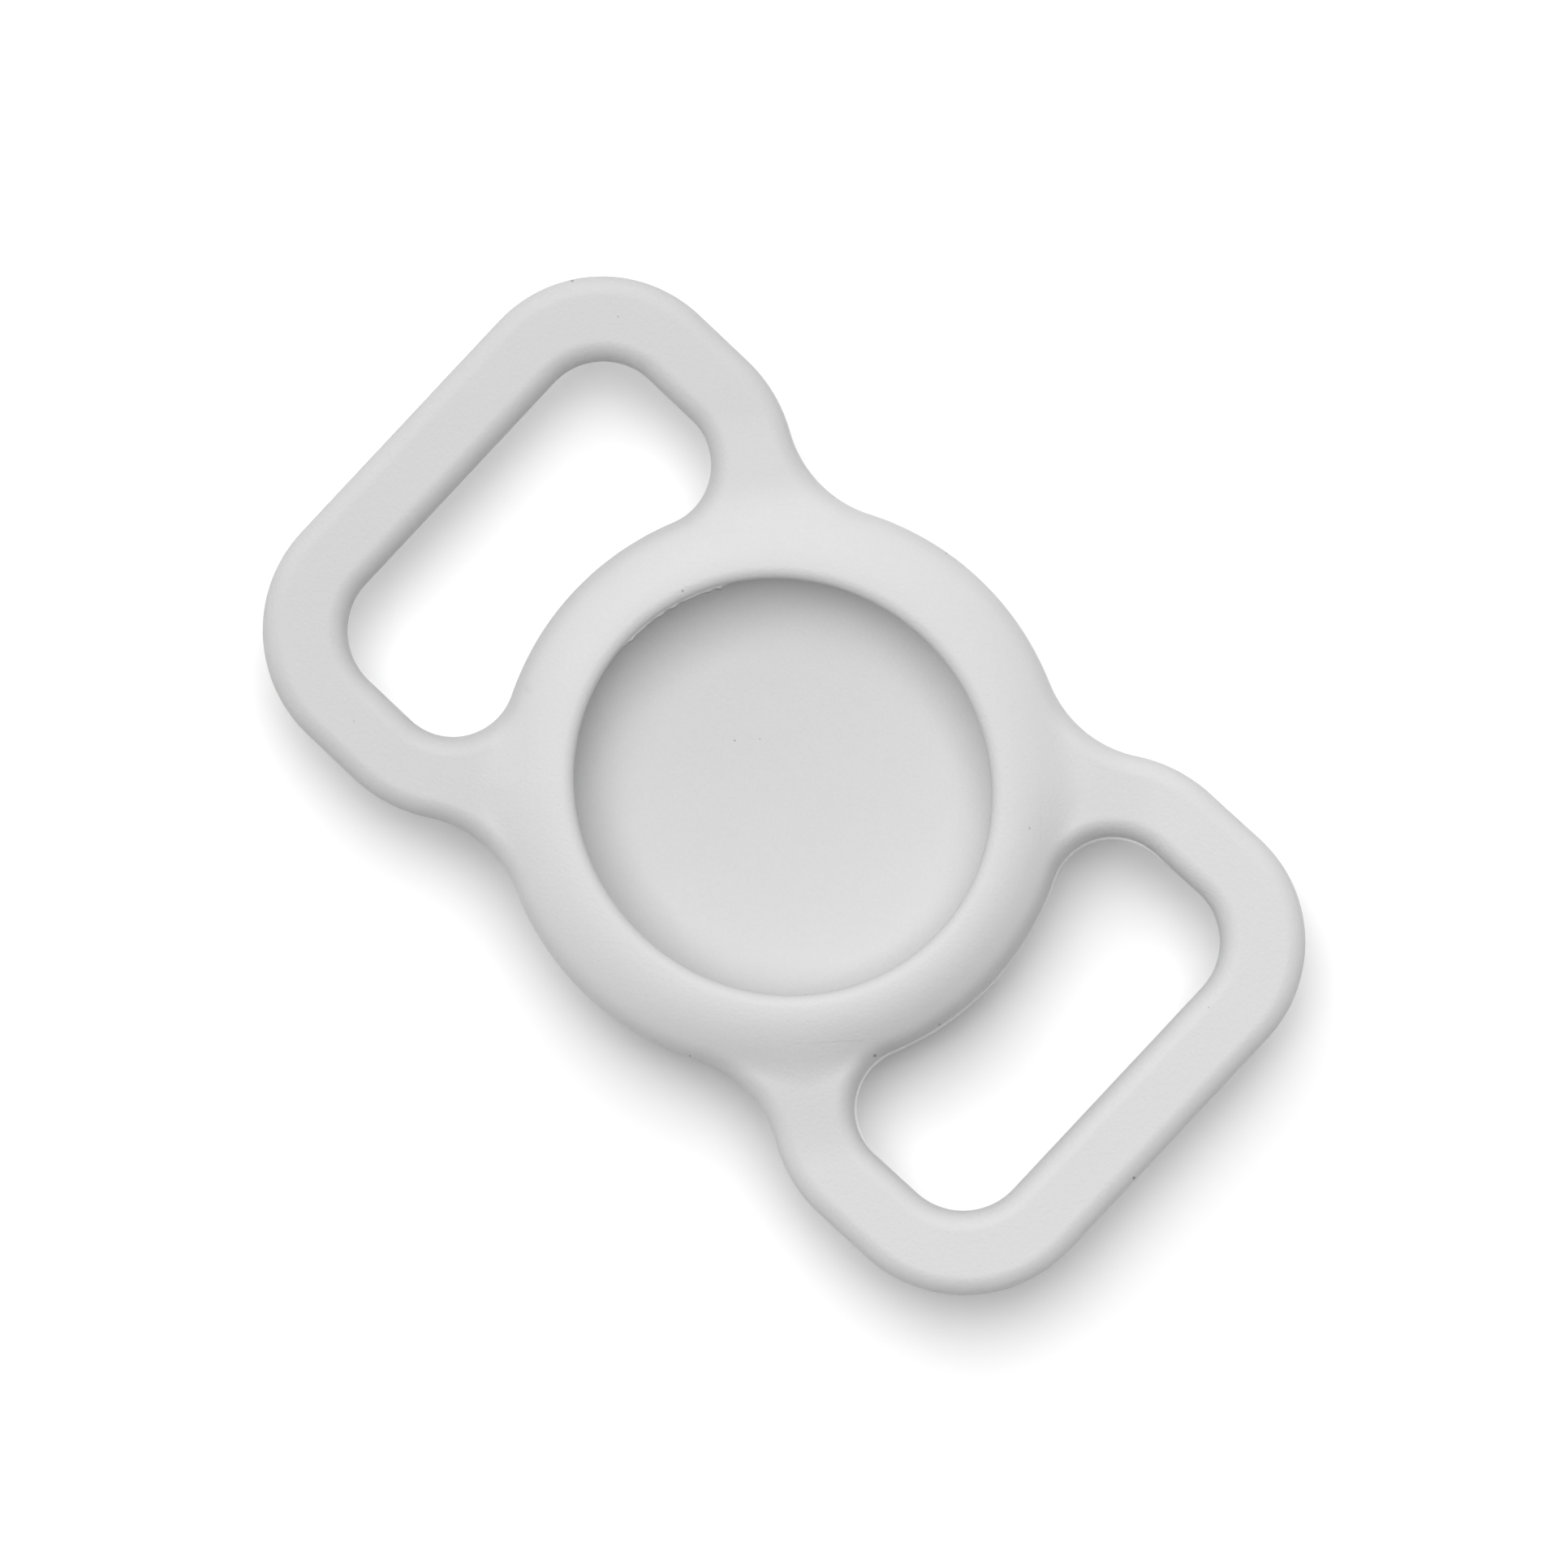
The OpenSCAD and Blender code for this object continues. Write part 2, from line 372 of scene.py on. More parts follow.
def pocket_columns():
    """Plan points of the pocket's edge: the seams' chords, and round stretches between."""
    chord = seam_chord()
    end_turn = np.linspace(SEAM_END, 180 - SEAM_END, END_GAP_CELLS + 1)
    side_turn = np.linspace(180 - SEAM_START, 180 + SEAM_START, SIDE_GAP_CELLS + 1)
    free_end, free_side = (DISC_R * direction(turn[1:-1]) for turn in (end_turn, side_turn))
    half = np.concatenate([chord, free_end, chord[::-1] * [-1, 1], free_side])
    on_seam = np.concatenate([np.ones(len(chord)), np.zeros(len(free_end)),
                              np.ones(len(chord)), np.zeros(len(free_side))]).astype(bool)
    return np.concatenate([half, -half]), np.concatenate([on_seam, on_seam])


def flash_width(xy):
    """How far the flash stands out at points of the outline: a little everywhere, more on
    the pocket's side of the right slot, and uneven by two sine waves round the pocket."""
    turn = np.arctan2(xy[:, 1], xy[:, 0])
    r = np.hypot(xy[:, 0], xy[:, 1])
    by_slot = ease((np.cos(turn) - BY_SLOT_COSINE) / BY_SLOT_FADE)
    by_slot = by_slot * ease((DISC_R + 2 * LOBE_R - r) / LOBE_R)
    uneven = 1 + sum(share * np.sin(waves * turn + on) for waves, share, on in FLASH_WAVES)
    return (FLASH_REACH + FLASH_BY_SLOT * by_slot) * uneven


def mouth_shift(unit, r):
    """How far the mouth's oval moves points at radius r outward: a cosine of twice the
    bearing, at full height as far as the crest, which dies away over the dome."""
    twice = unit[:, 0] ** 2 - unit[:, 1] ** 2
    fade = ease((MOUTH_OVAL_END_R - r) / (MOUTH_OVAL_END_R - CREST_R))
    return MOUTH_OVAL * twice * fade


def shreds(unit, z):
    """How far in the shreds on the lip's edge reach at a height: bells in the bearing, and
    a stretch of thin flash made rough by two sine waves, all times a bell in the height
    about the edge's own."""
    turn = np.degrees(np.arctan2(unit[:, 1], unit[:, 0]))
    bells = sum(reach * np.exp(-(((turn - place + 180) % 360 - 180) / half) ** 2)
                for place, half, reach in LIP_SHREDS)
    along = turn % 360
    film = ease((along - FILM_START) / FILM_START_FADE) * ease((FILM_END - along) / FILM_END_FADE)
    rough = 1 + sum(share * np.sin(np.radians(waves * turn + on))
                    for waves, share, on in FILM_WAVES)
    at_edge = math.exp(-((z - TOP_Z + LIP_R) / SHRED_HALF_T) ** 2)
    return (bells + FILM_REACH * film * rough) * at_edge


def outward_normal(xy, step=SLOPE_STEP):
    """Plan normals of the outline: the slope of the distance in from it, turned out."""
    x, y = xy[:, 0], xy[:, 1]
    gx = edge_distance(x - step, y) - edge_distance(x + step, y)
    gy = edge_distance(x, y - step) - edge_distance(x, y + step)
    n = np.stack([gx, gy], axis=-1)
    return n / np.maximum(np.linalg.norm(n, axis=-1, keepdims=True), TINY)


def edge_rows(top, bottom, out):
    """The two rows of the parting line's tip, between the skin's last rows. They stand
    out by the given plan offsets."""
    rows = []
    for skin in (top, bottom):
        row = skin.copy()
        row[:, :2] += out
        row[:, 2] = MID_Z + (skin[:, 2] - MID_Z) * FLASH_TIP_SHARE
        rows.append(row)
    return rows


def inside_profile():
    """The pocket's inside, from the lip's crest to the floor's middle: a full round lip,
    a round corner under it, the straight wall, a round corner and a dish. Rows of
    radius and height, without the crest and the middle."""
    under_z = TOP_Z - 2 * LIP_R
    lip_turn = np.linspace(90, 270, LIP_CELLS + 1)[1:]
    lip_edge = [CREST_R, TOP_Z - LIP_R] + LIP_R * direction(lip_turn)
    corner = LIP_CORNER * direction(np.linspace(90, 0, CORNER_CELLS + 1))
    corner += [CAVITY_R - LIP_CORNER, under_z - LIP_CORNER]
    floor_r = CAVITY_R - FLOOR_CORNER
    floor = lambda r: BACK_WALL + FLOOR_DISH * (r / CAVITY_R) ** 2
    slope = math.degrees(math.atan(2 * FLOOR_DISH * floor_r / CAVITY_R ** 2))
    turn = np.linspace(0, -90 + slope, BOTTOM_CORNER_CELLS + 1)
    bottom_corner = [floor_r, 0] + FLOOR_CORNER * direction(turn)
    bottom_corner[:, 1] += floor(bottom_corner[-1, 0]) - bottom_corner[-1, 1]
    wall_z = np.linspace(corner[-1, 1], bottom_corner[0, 1], WALL_CELLS + 1)[1:-1]
    wall = np.stack([np.full_like(wall_z, CAVITY_R), wall_z], -1)
    dish_r = bottom_corner[-1, 0] * (1 - np.arange(1, DISH_ROWS + 1) / (DISH_ROWS + 1))
    dish = np.stack([dish_r, floor(dish_r)], -1)
    return np.concatenate([lip_edge, corner, wall, bottom_corner, dish])


def make_pocket(material):
    """The pocket: columns round its edge, and rows from the middle of the back, out to
    the edge, up over the dome, over the lip and down to the middle of the floor."""
    edge, on_seam = pocket_columns()
    unit = edge / np.linalg.norm(edge, axis=1, keepdims=True)
    reach = np.linalg.norm(edge, axis=1)
    rows = []
    for r in FOOT_R * np.arange(1, BACK_ROWS + 1) / (BACK_ROWS + 1):
        rows.append(np.column_stack([unit * r, np.zeros(len(unit))]))
    swing = np.sin(np.linspace(0, np.pi / 2, DOME_ROWS + 1))
    for s in swing[:-1]:
        rows.append(skin_points(unit * (FOOT_R + (reach - FOOT_R) * s)[:, None], False))
    bottom, top = skin_points(edge, False), skin_points(edge, True)
    inside_seam = on_seam & np.roll(on_seam, 1) & np.roll(on_seam, -1)
    out = unit * (flash_width(edge) * ~inside_seam)[:, None]
    tip_top, tip_bottom = edge_rows(top, bottom, out)
    first_wall_row = len(rows)
    rows += [bottom, tip_bottom, tip_top, top]
    for s in swing[-2::-1]:
        r = CREST_R + (reach - CREST_R) * s
        row = skin_points(unit * r[:, None], True)
        row[:, :2] += unit * mouth_shift(unit, r)[:, None]
        rows.append(row)
    for r, z in inside_profile():
        fade = ease((z - TOP_Z + 2 * LIP_R + LIP_CORNER) / LIP_CORNER)
        fade = fade * ease((CAVITY_R - r) / LIP_CORNER)
        row_r = r + mouth_shift(unit, r) * fade - shreds(unit, z)
        rows.append(np.column_stack([unit * row_r[:, None], np.full(len(unit), z)]))
    count, columns = len(rows), len(unit)
    points = np.concatenate([*rows, [[0, 0, 0]], [[0, 0, BACK_WALL]]])
    quads = grid_faces(count, columns)
    j = np.arange(columns)
    k = (j + 1) % columns
    back_fan = np.column_stack([np.full(columns, count * columns), k, j])
    last = (count - 1) * columns
    floor_fan = np.column_stack([last + j, last + k, np.full(columns, count * columns + 1)])
    row_of_quad = np.repeat(np.arange(count - 1), columns)
    flat = (row_of_quad >= first_wall_row) & (row_of_quad < first_wall_row + 3)
    faces = [*quads, *back_fan, *floor_fan]
    flat = np.concatenate([flat, np.zeros(2 * columns, bool)])
    seam_columns = np.flatnonzero(on_seam)
    seam = np.concatenate([first_wall_row * columns + seam_columns,
                           (first_wall_row + 3) * columns + seam_columns])
    normals = np.concatenate([skin_normals(edge[on_seam], up) for up in (False, True)])
    return make_piece("pocket_skin", points, faces, flat, seam, normals, material)


def walk(stretches, cells):
    """Plan points in equal steps along stretches that follow each other."""
    lengths = np.array([s.length() for s in stretches])
    ends = np.concatenate([[0], np.cumsum(lengths)])
    travel = np.linspace(0, ends[-1], cells + 1)
    which = np.clip(np.searchsorted(ends, travel, side="right") - 1, 0, len(stretches) - 1)
    points = np.zeros((cells + 1, 2))
    for i, stretch in enumerate(stretches):
        here = which == i
        points[here] = stretch.at((travel[here] - ends[i]) / lengths[i])
    return points


def loop_legs():
    """The legs of a quarter loop: what its inner and outer ends walk along, and in how
    many steps. The first leg starts at the seam."""
    seam_to_lobe = Arc(ORIGIN, DISC_R, SEAM_START, LOBE_TOUCH, 1)
    seam_to_waist = Arc(ORIGIN, DISC_R, SEAM_END, WAIST_TOUCH, 1)
    lobe_to_throat = Arc(lobe_c, LOBE_R, LOBE_TOUCH + 180, THROAT, -1)
    lobe_past_throat = Arc(lobe_c, LOBE_R, THROAT, 90, -1)
    return [
        ([seam_to_lobe, lobe_to_throat], [seam_to_waist, waist], NECK_STEPS),
        ([lobe_past_throat], [shoulder], SHOULDER_STEPS),
        ([slot_side], [arm_side], ARM_STEPS),
        ([slot_corner], [outer_corner], OUTER_CORNER_STEPS),
        ([slot_end], [end_side], BAR_STEPS),
    ]


def ladder():
    """Inner and outer plan points of the rungs, from the upper seam round to the lower."""
    inner, outer = [], []
    for inside, outside, cells in loop_legs():
        inner.append(walk(inside, cells)[:-1])
        outer.append(walk(outside, cells)[:-1])
    inner = np.concatenate([*inner, [[SLOT_X, 0]]])
    outer = np.concatenate([*outer, [[END_X, 0]]])
    mirror = np.array([1, -1])
    return [np.concatenate([side, side[-2::-1] * mirror]) for side in (inner, outer)]


def make_loop(name, sign, material):
    """A loop with its two necks: rungs from the slot's edge to the outer edge, each a
    closed ring over the top, round the parting line and back underneath. sign is 1 for
    the right loop and -1 for the left one, which is turned half round."""
    inner, outer = ladder()
    share = wave_share(NECK_CELLS)
    plan = sign * (inner[:, None] + (outer - inner)[:, None] * share[None, :, None])
    top, bottom = skin_points(plan, True), skin_points(plan, False)
    tips = []
    for column, ends in ((-1, sign * outer), (0, sign * inner)):
        out = outward_normal(ends) * flash_width(ends)[:, None]
        out[[0, -1]] = ends[[0, -1]] / DISC_R * flash_width(ends[[0, -1]])[:, None]
        tips.append(edge_rows(top[:, column], bottom[:, column], out))
    (outer_top, outer_bottom), (inner_top, inner_bottom) = tips
    rings = np.concatenate([
        top, outer_top[:, None], outer_bottom[:, None],
        bottom[:, ::-1], inner_bottom[:, None], inner_top[:, None]], axis=1)
    stations, around = rings.shape[:2]
    width = NECK_CELLS + 1
    quads = grid_faces(stations, around)[:, ::-1]
    column_of_quad = np.tile(np.arange(around), stations - 1)
    flat = (column_of_quad >= width - 1) & (column_of_quad < width + 2)
    flat = flat | (column_of_quad >= 2 * width + 1)
    points = [rings.reshape(-1, 3)]
    faces = [quads]
    used = stations * around
    for station, turn in ((0, 1), (stations - 1, -1)):
        wall_top, wall_bottom = edge_rows(top[station], bottom[station], np.zeros((width, 2)))
        inside = np.arange(1, width - 1)
        ring = station * around
        top_row = ring + np.arange(width)
        bottom_row = ring + width + 2 + np.arange(width)[::-1]
        upper = np.concatenate([[ring + around - 1], used + inside - 1, [ring + width]])
        below = used + len(inside)
        lower = np.concatenate([[ring + around - 2], below + inside - 1, [ring + width + 1]])
        wall = np.stack([top_row, upper, lower, bottom_row])
        quad = np.stack([wall[:-1, :-1], wall[1:, :-1], wall[1:, 1:], wall[:-1, 1:]], -1)
        quad = quad.reshape(-1, 4)
        faces.append(quad[:, ::-1] if turn == 1 else quad)
        points += [wall_top[1:-1], wall_bottom[1:-1]]
        used += 2 * len(inside)
    points = np.concatenate(points)
    points[:, 1] += SKEW[sign] * ease((sign * points[:, 0] - DISC_R) / (END_X - DISC_R))
    flat = np.concatenate([flat, np.ones(sum(len(f) for f in faces[1:]), bool)])
    seam, normals = [], []
    for station in (0, stations - 1):
        ring = station * around
        seam += [ring + np.arange(width), ring + width + 2 + np.arange(width)[::-1]]
        normals += [skin_normals(plan[station], True), skin_normals(plan[station], False)]
    return make_piece(name, points, list(np.concatenate(faces)), flat,
                      np.concatenate(seam), np.concatenate(normals), material)


# Silicone: its colour, how much it clouds, and its fine matte grain
SILICONE_COLOUR = (0.675, 0.675, 0.675, 1)
SHEEN_LEVEL = 0.2
CLOUD_LOW, CLOUD_HIGH = 0.972, 1.028
CLOUD_SCALE = 180
MOTTLE_SCALE = 4500
MOTTLE_SHARE = 0.7
CLOUD_GAIN = 1.6
ROUGH_LOW, ROUGH_HIGH = 0.52, 0.66
GRAIN_SCALE = 4500
GRAIN_DEPTH = 0.028
RIPPLE_SCALE = 420
RIPPLE_DEPTH = 0.010
# Painted shade: the left loop and its necks are painted a little darker than the pocket,
# from where to where along the holder and out from the pocket's axis, and by how much
PAINTED_SHADE_START, PAINTED_SHADE_END = -9, -14
PAINTED_SHADE_START_R, PAINTED_SHADE_END_R = 17.0, 20.5
PAINTED_SHADE_SHARE = 0.085

# Dust and pits on the silicone: place in the plan, radius, and how dark
SPECKS = [(17.9, -4.3, 0.15, 0.50), (16.2, -8.6, 0.15, 0.70), (33.85, -2.95, 0.14, 0.75),
          (-32.3, 14.6, 0.13, 0.60), (-13.3, 4.8, 0.11, 0.50), (-4.35, 0.07, 0.10, 0.45),
          (13.4, 8.9, 0.11, 0.35), (-3.23, 1.26, 0.09, 0.35), (7.5, -16.8, 0.13, 0.40),
          (-16.25, -6.6, 0.45, 0.05), (-18.2, -2.4, 0.20, 0.05), (-2.6, 18.25, 0.12, 0.30),
          (23.1, 18.6, 0.30, 0.05), (-28.5, 14.9, 0.10, 0.30), (29.8, 8.4, 0.09, 0.25),
          (-23.1, -15.8, 0.10, 0.25)]
SPECK_COLOUR = (0.16, 0.15, 0.14, 1)
# A speck is full as far out as this share of its radius
SPECK_FULL = 0.4
# Dust lies on faces that look up: the normal's height where it starts and is full
DUST_START, DUST_FULL = 0.05, 0.20


def calc(tree, operation, *values):
    """A maths node in a tree, as its output. Each value is a number or a socket."""
    node = tree.nodes.new("ShaderNodeMath")
    node.operation = operation
    for socket, value in zip(node.inputs, values):
        if isinstance(value, bpy.types.NodeSocket):
            tree.links.new(value, socket)
        else:
            socket.default_value = value
    return node.outputs[0]


def smooth_step(tree, value, start, end):
    """A value turned into 0 at a start and 1 at an end, with a smooth curve between."""
    node = tree.nodes.new("ShaderNodeMapRange")
    node.interpolation_type = "SMOOTHSTEP"
    node.inputs["From Min"].default_value = start
    node.inputs["From Max"].default_value = end
    tree.links.new(value, node.inputs["Value"])
    return node.outputs[0]


def plan_length(tree, x, y):
    """Length of a plan vector, the root of x² + y², as an output."""
    squares = calc(tree, "ADD", calc(tree, "MULTIPLY", x, x), calc(tree, "MULTIPLY", y, y))
    return calc(tree, "SQRT", squares)


def new_group(name, inputs, output):
    """An empty node group with float or vector inputs and one float output."""
    group = bpy.data.node_groups.new(name, "ShaderNodeTree")
    for label, kind in inputs:
        group.interface.new_socket(label, in_out="INPUT", socket_type=kind)
    group.interface.new_socket(output, in_out="OUTPUT", socket_type="NodeSocketFloat")
    return group, group.nodes.new("NodeGroupInput"), group.nodes.new("NodeGroupOutput")


def use_group(tree, group, vector=None):
    """A node in a tree that runs a group, with its vector input linked."""
    node = tree.nodes.new("ShaderNodeGroup")
    node.node_tree = group
    if vector is not None:
        tree.links.new(vector, node.inputs["Vector"])
    return node


def noise_group():
    """Noise from 0 to 1 about a half, at a scale, with a detail and stretched by a gain."""
    group, given, result = new_group(
        "cloudy_noise",
        [("Vector", "NodeSocketVector"), ("Scale", "NodeSocketFloat"),
         ("Detail", "NodeSocketFloat"), ("Gain", "NodeSocketFloat")], "Value")
    noise = group.nodes.new("ShaderNodeTexNoise")
    for label in ("Vector", "Scale", "Detail"):
        group.links.new(given.outputs[label], noise.inputs[label])
    centred = calc(group, "SUBTRACT", noise.outputs["Fac"], 0.5)
    stretched = calc(group, "MULTIPLY_ADD", centred, given.outputs["Gain"], 0.5)
    clamp = group.nodes.new("ShaderNodeClamp")
    group.links.new(stretched, clamp.inputs["Value"])
    group.links.new(clamp.outputs[0], result.inputs["Value"])
    return group


def speck_group():
    """A soft-edged dot: 1 within a radius of a plan place, 0 outside, times its darkness."""
    group, given, result = new_group(
        "speck",
        [("Vector", "NodeSocketVector"), ("X", "NodeSocketFloat"), ("Y", "NodeSocketFloat"),
         ("Radius", "NodeSocketFloat"), ("Darkness", "NodeSocketFloat")], "Value")
    apart = group.nodes.new("ShaderNodeSeparateXYZ")
    group.links.new(given.outputs["Vector"], apart.inputs[0])
    dx = calc(group, "SUBTRACT", apart.outputs[0], given.outputs["X"])
    dy = calc(group, "SUBTRACT", apart.outputs[1], given.outputs["Y"])
    share = calc(group, "DIVIDE", plan_length(group, dx, dy), given.outputs["Radius"])
    fade = smooth_step(group, share, 1, SPECK_FULL)
    group.links.new(calc(group, "MULTIPLY", fade, given.outputs["Darkness"]),
                    result.inputs["Value"])
    return group


def seen_group():
    """1 for rays from the camera, mirrored rays and rays through glass, otherwise 0."""
    group, _, result = new_group("seen_rays", [], "Value")
    path = group.nodes.new("ShaderNodeLightPath")
    mirrored = calc(group, "MAXIMUM", path.outputs["Is Camera Ray"], path.outputs["Is Glossy Ray"])
    group.links.new(calc(group, "MAXIMUM", mirrored, path.outputs["Is Transmission Ray"]),
                    result.inputs["Value"])
    return group


def cloudy(tree, group, vector, scale, detail, gain):
    """A noise node in a tree, as its output."""
    node = use_group(tree, group, vector)
    node.inputs["Scale"].default_value = scale
    node.inputs["Detail"].default_value = detail
    node.inputs["Gain"].default_value = gain
    return node.outputs[0]


def remap(tree, value, low, high):
    """A value from 0 to 1 turned into one from low to high."""
    return calc(tree, "MULTIPLY_ADD", value, high - low, low)


def silicone():
    """Light grey moulded silicone: matte, slightly clouded, with a fine even grain, faint
    ripples and a few specks of dust, and painted shade that darkens the left loop."""
    material = bpy.data.materials.new("light_grey_silicone")
    material.use_nodes = True
    tree = material.node_tree
    nodes, links = tree.nodes, tree.links
    shader = nodes["Principled BSDF"]
    shader.inputs["Specular IOR Level"].default_value = SHEEN_LEVEL
    where = nodes.new("ShaderNodeTexCoord")
    place = where.outputs["Object"]
    noise = noise_group()
    clouds = cloudy(tree, noise, place, CLOUD_SCALE, 2, CLOUD_GAIN)
    mottle = cloudy(tree, noise, place, MOTTLE_SCALE, 3, CLOUD_GAIN)
    mixed = calc(tree, "ADD", calc(tree, "MULTIPLY", clouds, 1 - MOTTLE_SHARE),
                 calc(tree, "MULTIPLY", mottle, MOTTLE_SHARE))
    tone = nodes.new("ShaderNodeMix")
    tone.data_type = "RGBA"
    tone.blend_type = "MULTIPLY"
    tone.inputs["Factor"].default_value = 1
    tone.inputs["A"].default_value = SILICONE_COLOUR
    apart = nodes.new("ShaderNodeSeparateXYZ")
    links.new(place, apart.inputs[0])
    # Painted shade: darker colour over the left loop and its necks, times the clouds
    left = smooth_step(tree, apart.outputs[0], PAINTED_SHADE_START * MM, PAINTED_SHADE_END * MM)
    clear = smooth_step(tree, plan_length(tree, apart.outputs[0], apart.outputs[1]),
                        PAINTED_SHADE_START_R * MM, PAINTED_SHADE_END_R * MM)
    painted_shade_and_clouds = remap(tree, calc(tree, "MULTIPLY", left, clear), 1, 1 - PAINTED_SHADE_SHARE)
    painted_shade_and_clouds = calc(tree, "MULTIPLY", painted_shade_and_clouds, remap(tree, mixed, CLOUD_LOW, CLOUD_HIGH))
    links.new(painted_shade_and_clouds, tone.inputs["B"])
    speck = speck_group()
    dust = 0.0
    for x, y, radius, darkness in SPECKS:
        node = use_group(tree, speck, place)
        node.inputs["X"].default_value = x * MM
        node.inputs["Y"].default_value = y * MM
        node.inputs["Radius"].default_value = radius * MM
        node.inputs["Darkness"].default_value = darkness
        dust = calc(tree, "MAXIMUM", dust, node.outputs[0])
    facing = nodes.new("ShaderNodeSeparateXYZ")
    links.new(where.outputs["Normal"], facing.inputs[0])
    dust = calc(tree, "MULTIPLY", dust,
                smooth_step(tree, facing.outputs[2], DUST_START, DUST_FULL))
    dusty = nodes.new("ShaderNodeMix")
    dusty.data_type = "RGBA"
    dusty.inputs["B"].default_value = SPECK_COLOUR
    links.new(dust, dusty.inputs["Factor"])
    links.new(tone.outputs["Result"], dusty.inputs["A"])
    links.new(dusty.outputs["Result"], shader.inputs["Base Color"])
    links.new(remap(tree, mottle, ROUGH_LOW, ROUGH_HIGH), shader.inputs["Roughness"])
    grain = cloudy(tree, noise, place, GRAIN_SCALE, 2, 1)
    ripple = cloudy(tree, noise, place, RIPPLE_SCALE, 1, 1)
    relief = calc(tree, "ADD", calc(tree, "MULTIPLY", grain, GRAIN_DEPTH * MM),
                  calc(tree, "MULTIPLY", ripple, RIPPLE_DEPTH * MM))
    bump = nodes.new("ShaderNodeBump")
    bump.inputs["Strength"].default_value = 1
    bump.inputs["Distance"].default_value = 1
    links.new(relief, bump.inputs["Height"])
    links.new(bump.outputs["Normal"], shader.inputs["Normal"])
    return material


# Floor, light and camera
FLOOR_SIZE = 3.0
FLOOR_COLOUR = (0.78, 0.78, 0.78, 1)
FLOOR_SEEN_COLOUR = (1, 1, 1, 1)
ROOM_LIGHT = 0.08
WALL_LIGHT = 1.8
WALL_BEARING = 132
WALL_DARK_COSINE, WALL_FULL_COSINE = -0.6, 0.1
WALL_SINE = 0.26
WALL_HALF_SINE = 0.12
LAMP_DISTANCE = 2.5
# Square softboxes: bearing, rise, size in metres and power in watts
HOLDER_SOFTBOX = (163, 80, 1.90, 62.5)
FLOOR_SOFTBOX = (141, 64, 2.82, 91)
LOW_SOFTBOX = (205, 15, 1.34, 12)
CAMERA_DISTANCE = 0.6
SENSOR = 36
FRAME_WIDTH = 101.5
PHOTO_RIGHT = (0.7302, 0.6833, 0)
PHOTO_UP = (-0.6833, 0.7302, 0)
FRAME_MIDDLE = (-0.07, 0.19)


def make_floor(seen_rays):
    """A plain pale floor, which the camera sees as white outside the holder's shadow."""
    mesh = bpy.data.meshes.new("floor")
    s = FLOOR_SIZE / 2
    mesh.from_pydata([(-s, -s, 0), (s, -s, 0), (s, s, 0), (-s, s, 0)], [], [(0, 1, 2, 3)])
    material = bpy.data.materials.new("pale_floor")
    material.use_nodes = True
    nodes, links = material.node_tree.nodes, material.node_tree.links
    nodes.clear()
    output = nodes.new("ShaderNodeOutputMaterial")
    plain = nodes.new("ShaderNodeBsdfDiffuse")
    plain.inputs["Color"].default_value = FLOOR_COLOUR
    seen = nodes.new("ShaderNodeBsdfDiffuse")
    seen.inputs["Color"].default_value = FLOOR_SEEN_COLOUR
    choose = nodes.new("ShaderNodeMixShader")
    links.new(use_group(material.node_tree, seen_rays).outputs[0], choose.inputs[0])
    links.new(plain.outputs[0], choose.inputs[1])
    links.new(seen.outputs[0], choose.inputs[2])
    links.new(choose.outputs[0], output.inputs["Surface"])
    mesh.materials.append(material)
    floor = bpy.data.objects.new("floor", mesh)
    bpy.context.scene.collection.objects.link(floor)
    return floor


def make_world(seen_rays):
    """The room: a band of light low on the walls of one half, which falls off as a bell of
    the height's sine, a little light from all round, and plain white where it is seen."""
    world = bpy.data.worlds.new("studio")
    world.use_nodes = True
    tree = world.node_tree
    nodes, links = tree.nodes, tree.links
    background = nodes["Background"]
    apart = nodes.new("ShaderNodeSeparateXYZ")
    links.new(nodes.new("ShaderNodeTexCoord").outputs["Generated"], apart.inputs[0])
    x, y, z = apart.outputs
    wall_x, wall_y = direction(WALL_BEARING).tolist()
    toward = calc(tree, "MULTIPLY_ADD", x, wall_x, calc(tree, "MULTIPLY", y, wall_y))
    side = smooth_step(tree, toward, WALL_DARK_COSINE, WALL_FULL_COSINE)
    off = calc(tree, "MULTIPLY_ADD", z, 1 / WALL_HALF_SINE, -WALL_SINE / WALL_HALF_SINE)
    low = calc(tree, "EXPONENT", calc(tree, "MULTIPLY", calc(tree, "MULTIPLY", off, off), -1))
    light = calc(tree, "MULTIPLY_ADD", calc(tree, "MULTIPLY", side, low), WALL_LIGHT, ROOM_LIGHT)
    links.new(light, background.inputs["Strength"])
    background.inputs["Color"].default_value = (1, 1, 1, 1)
    seen = nodes.new("ShaderNodeBackground")
    seen.inputs["Strength"].default_value = 1
    seen.inputs["Color"].default_value = (1, 1, 1, 1)
    choose = nodes.new("ShaderNodeMixShader")
    links.new(use_group(tree, seen_rays).outputs[0], choose.inputs[0])
    links.new(background.outputs[0], choose.inputs[1])
    links.new(seen.outputs[0], choose.inputs[2])
    links.new(choose.outputs[0], nodes["World Output"].inputs["Surface"])
    bpy.context.scene.world = world


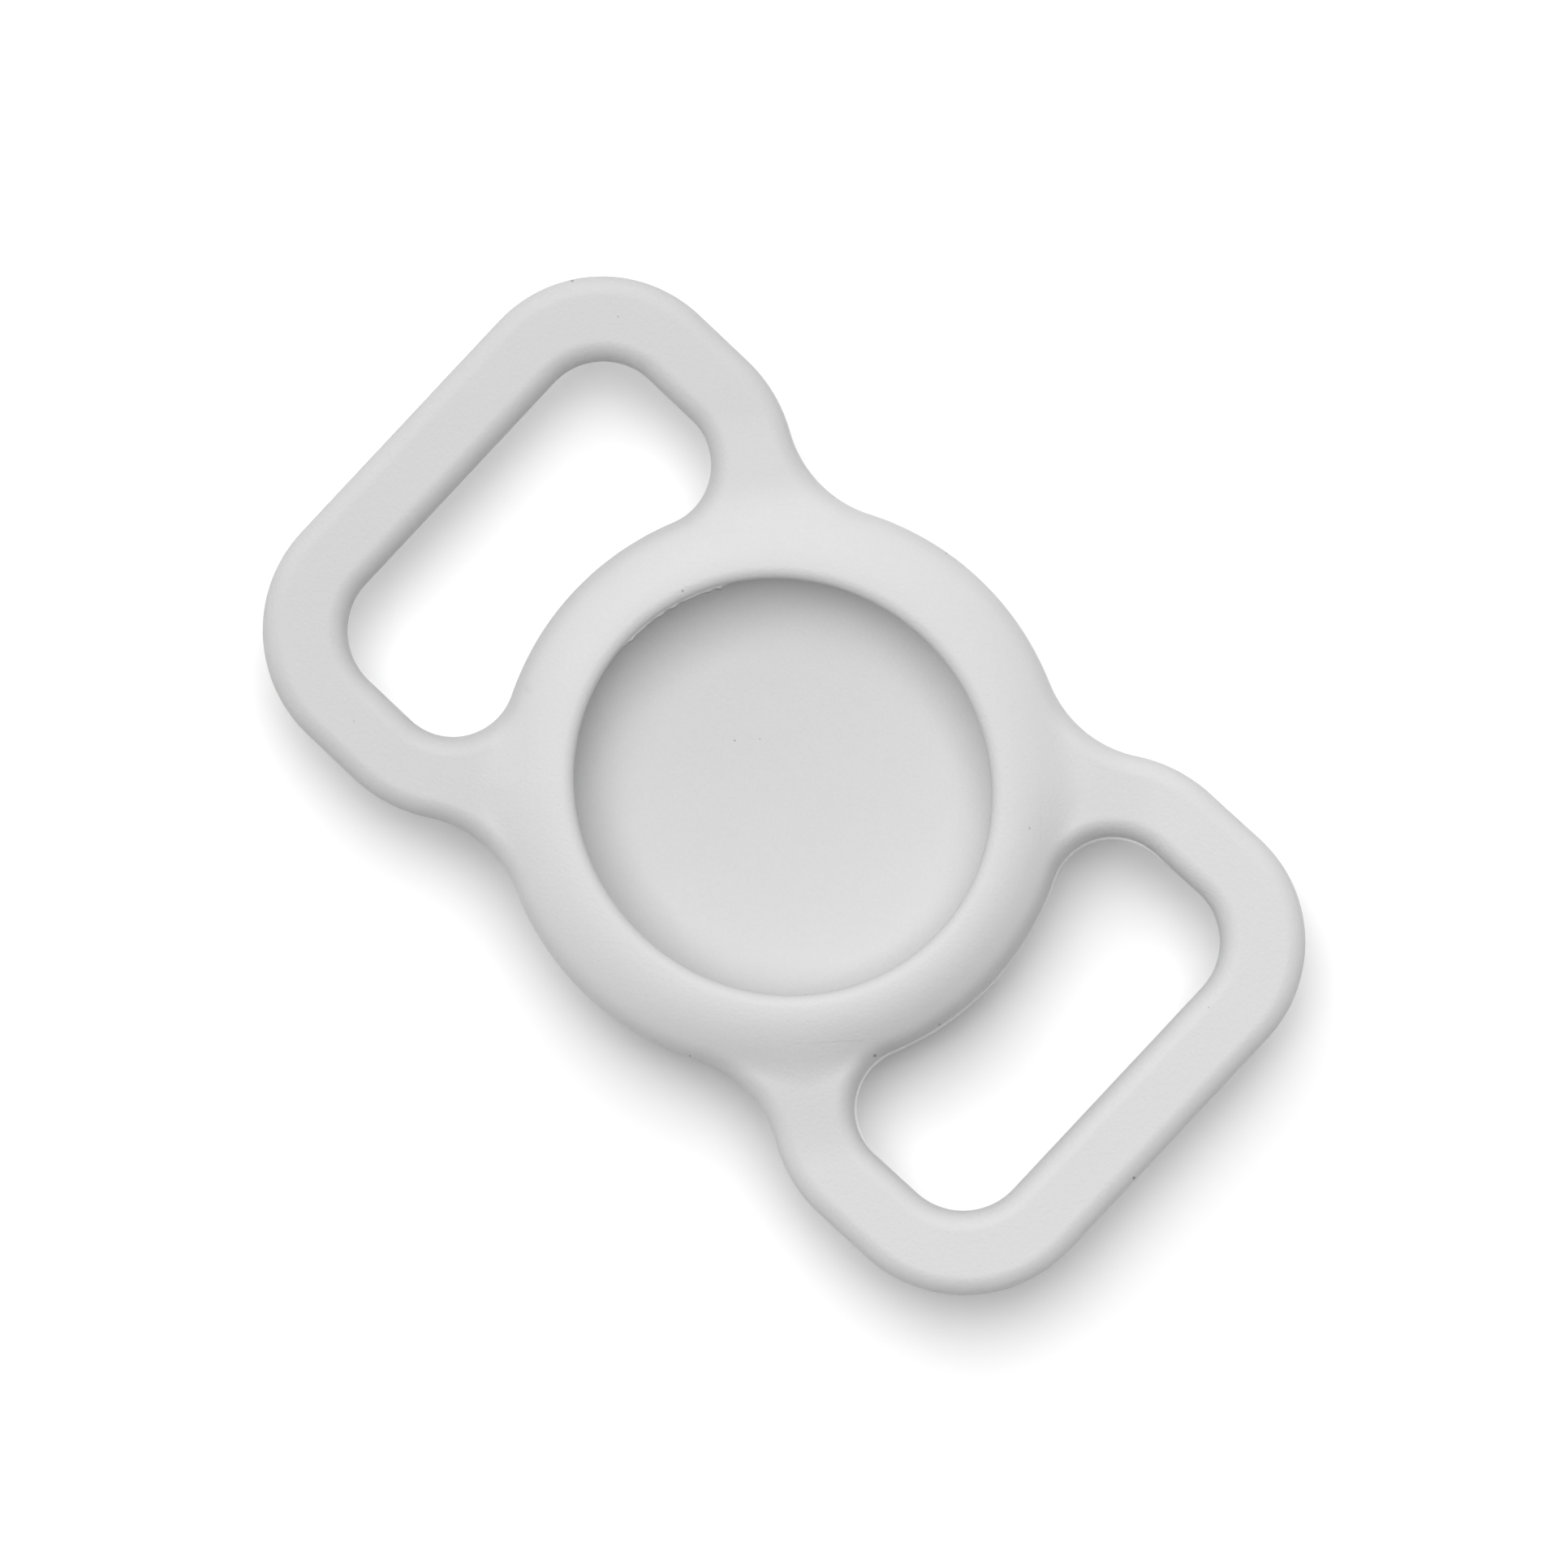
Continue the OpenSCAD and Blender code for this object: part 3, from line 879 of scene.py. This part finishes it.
def make_softbox(name, placing, floor, on_floor):
    """A square softbox which leans to the photograph's upper left. It lights the floor
    alone, or all but the floor."""
    bearing_deg, rise_deg, size, power = placing
    light = bpy.data.lights.new(name, "AREA")
    light.shape = "SQUARE"
    light.size = size
    light.energy = power
    lamp = bpy.data.objects.new(name, light)
    turn, rise = math.radians(bearing_deg), math.radians(rise_deg)
    across = math.cos(rise)
    place = Vector((across * math.cos(turn), across * math.sin(turn), math.sin(rise)))
    lamp.location = place * LAMP_DISTANCE
    lamp.rotation_euler = place.to_track_quat("Z", "Y").to_euler()
    bpy.context.scene.collection.objects.link(lamp)
    lit = bpy.data.collections.new(name + "_lights")
    lit.objects.link(floor)
    lit.collection_objects[0].light_linking.link_state = "INCLUDE" if on_floor else "EXCLUDE"
    lamp.light_linking.receiver_collection = lit


def make_camera():
    """Straight over the pocket, with a long lens, turned so that the holder lies across the
    frame as in the photograph."""
    data = bpy.data.cameras.new("camera")
    data.sensor_width = SENSOR
    data.lens = SENSOR * (CAMERA_DISTANCE / MM) / FRAME_WIDTH
    camera = bpy.data.objects.new("camera", data)
    right, up = Vector(PHOTO_RIGHT).normalized(), Vector(PHOTO_UP).normalized()
    back = right.cross(up)
    turned = Matrix((right, up, back)).transposed()
    place = Vector((FRAME_MIDDLE[0] * MM, FRAME_MIDDLE[1] * MM, MID_Z * MM + CAMERA_DISTANCE))
    camera.matrix_world = Matrix.Translation(place) @ turned.to_4x4()
    bpy.context.scene.collection.objects.link(camera)
    bpy.context.scene.camera = camera


finish = silicone()
pocket = make_pocket(finish)
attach(pocket, "pocket")
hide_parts("pocket_shell", "pocket_lip")

for side, sign in (("left", -1), ("right", 1)):
    skin = make_loop(side + "_loop_skin", sign, finish)
    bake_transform(skin)
    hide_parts(side + "_loop", side + "_upper_neck", side + "_lower_neck")

seen_rays = seen_group()
floor = make_floor(seen_rays)
make_world(seen_rays)
make_softbox("holder_softbox", HOLDER_SOFTBOX, floor, False)
make_softbox("floor_softbox", FLOOR_SOFTBOX, floor, True)
make_softbox("low_softbox", LOW_SOFTBOX, floor, True)
make_camera()
bpy.context.scene.view_settings.view_transform = "Standard"
